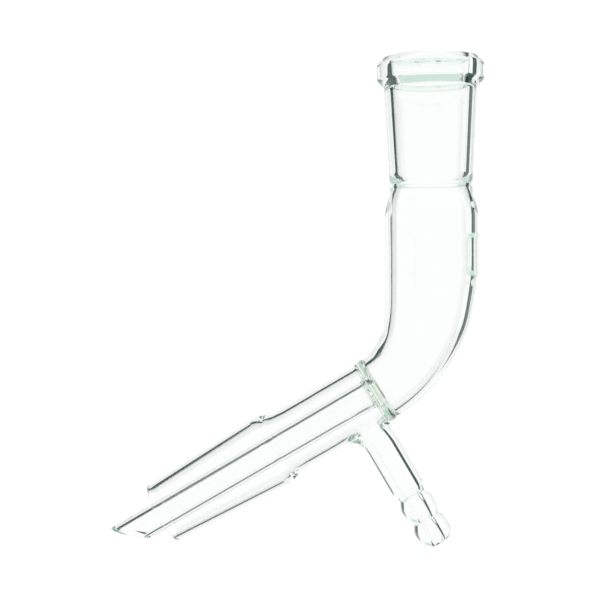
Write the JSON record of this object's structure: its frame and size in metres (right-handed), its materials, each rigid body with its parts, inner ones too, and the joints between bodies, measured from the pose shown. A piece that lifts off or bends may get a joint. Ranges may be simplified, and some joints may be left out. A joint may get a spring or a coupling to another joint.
{
  "type": "vacuum take-off adapter",
  "caption": "One-piece glass receiver adapter: ground socket above, tapered bend, ring-sealed drip tube inside a ground cone, and a barbed side arm for a vacuum hose.",
  "frame": {"origin": "centre of the socket's mouth", "axes": "+Y out of the socket along its axis, +Z square to the plane of symmetry, and the adapter lies in the XY plane, with the cone and the side arm towards -Y"},
  "size_m": [0.1197, 0.1517, 0.0326],
  "materials": {
    "glass": "clear borosilicate glass, fire-polished, with a very slight green tint",
    "enamel": "fired white enamel marking field on the glass, matt"
  },
  "bodies": {
    "root": {"glass_adapter": "glass"}
  },
  "joints": []
}
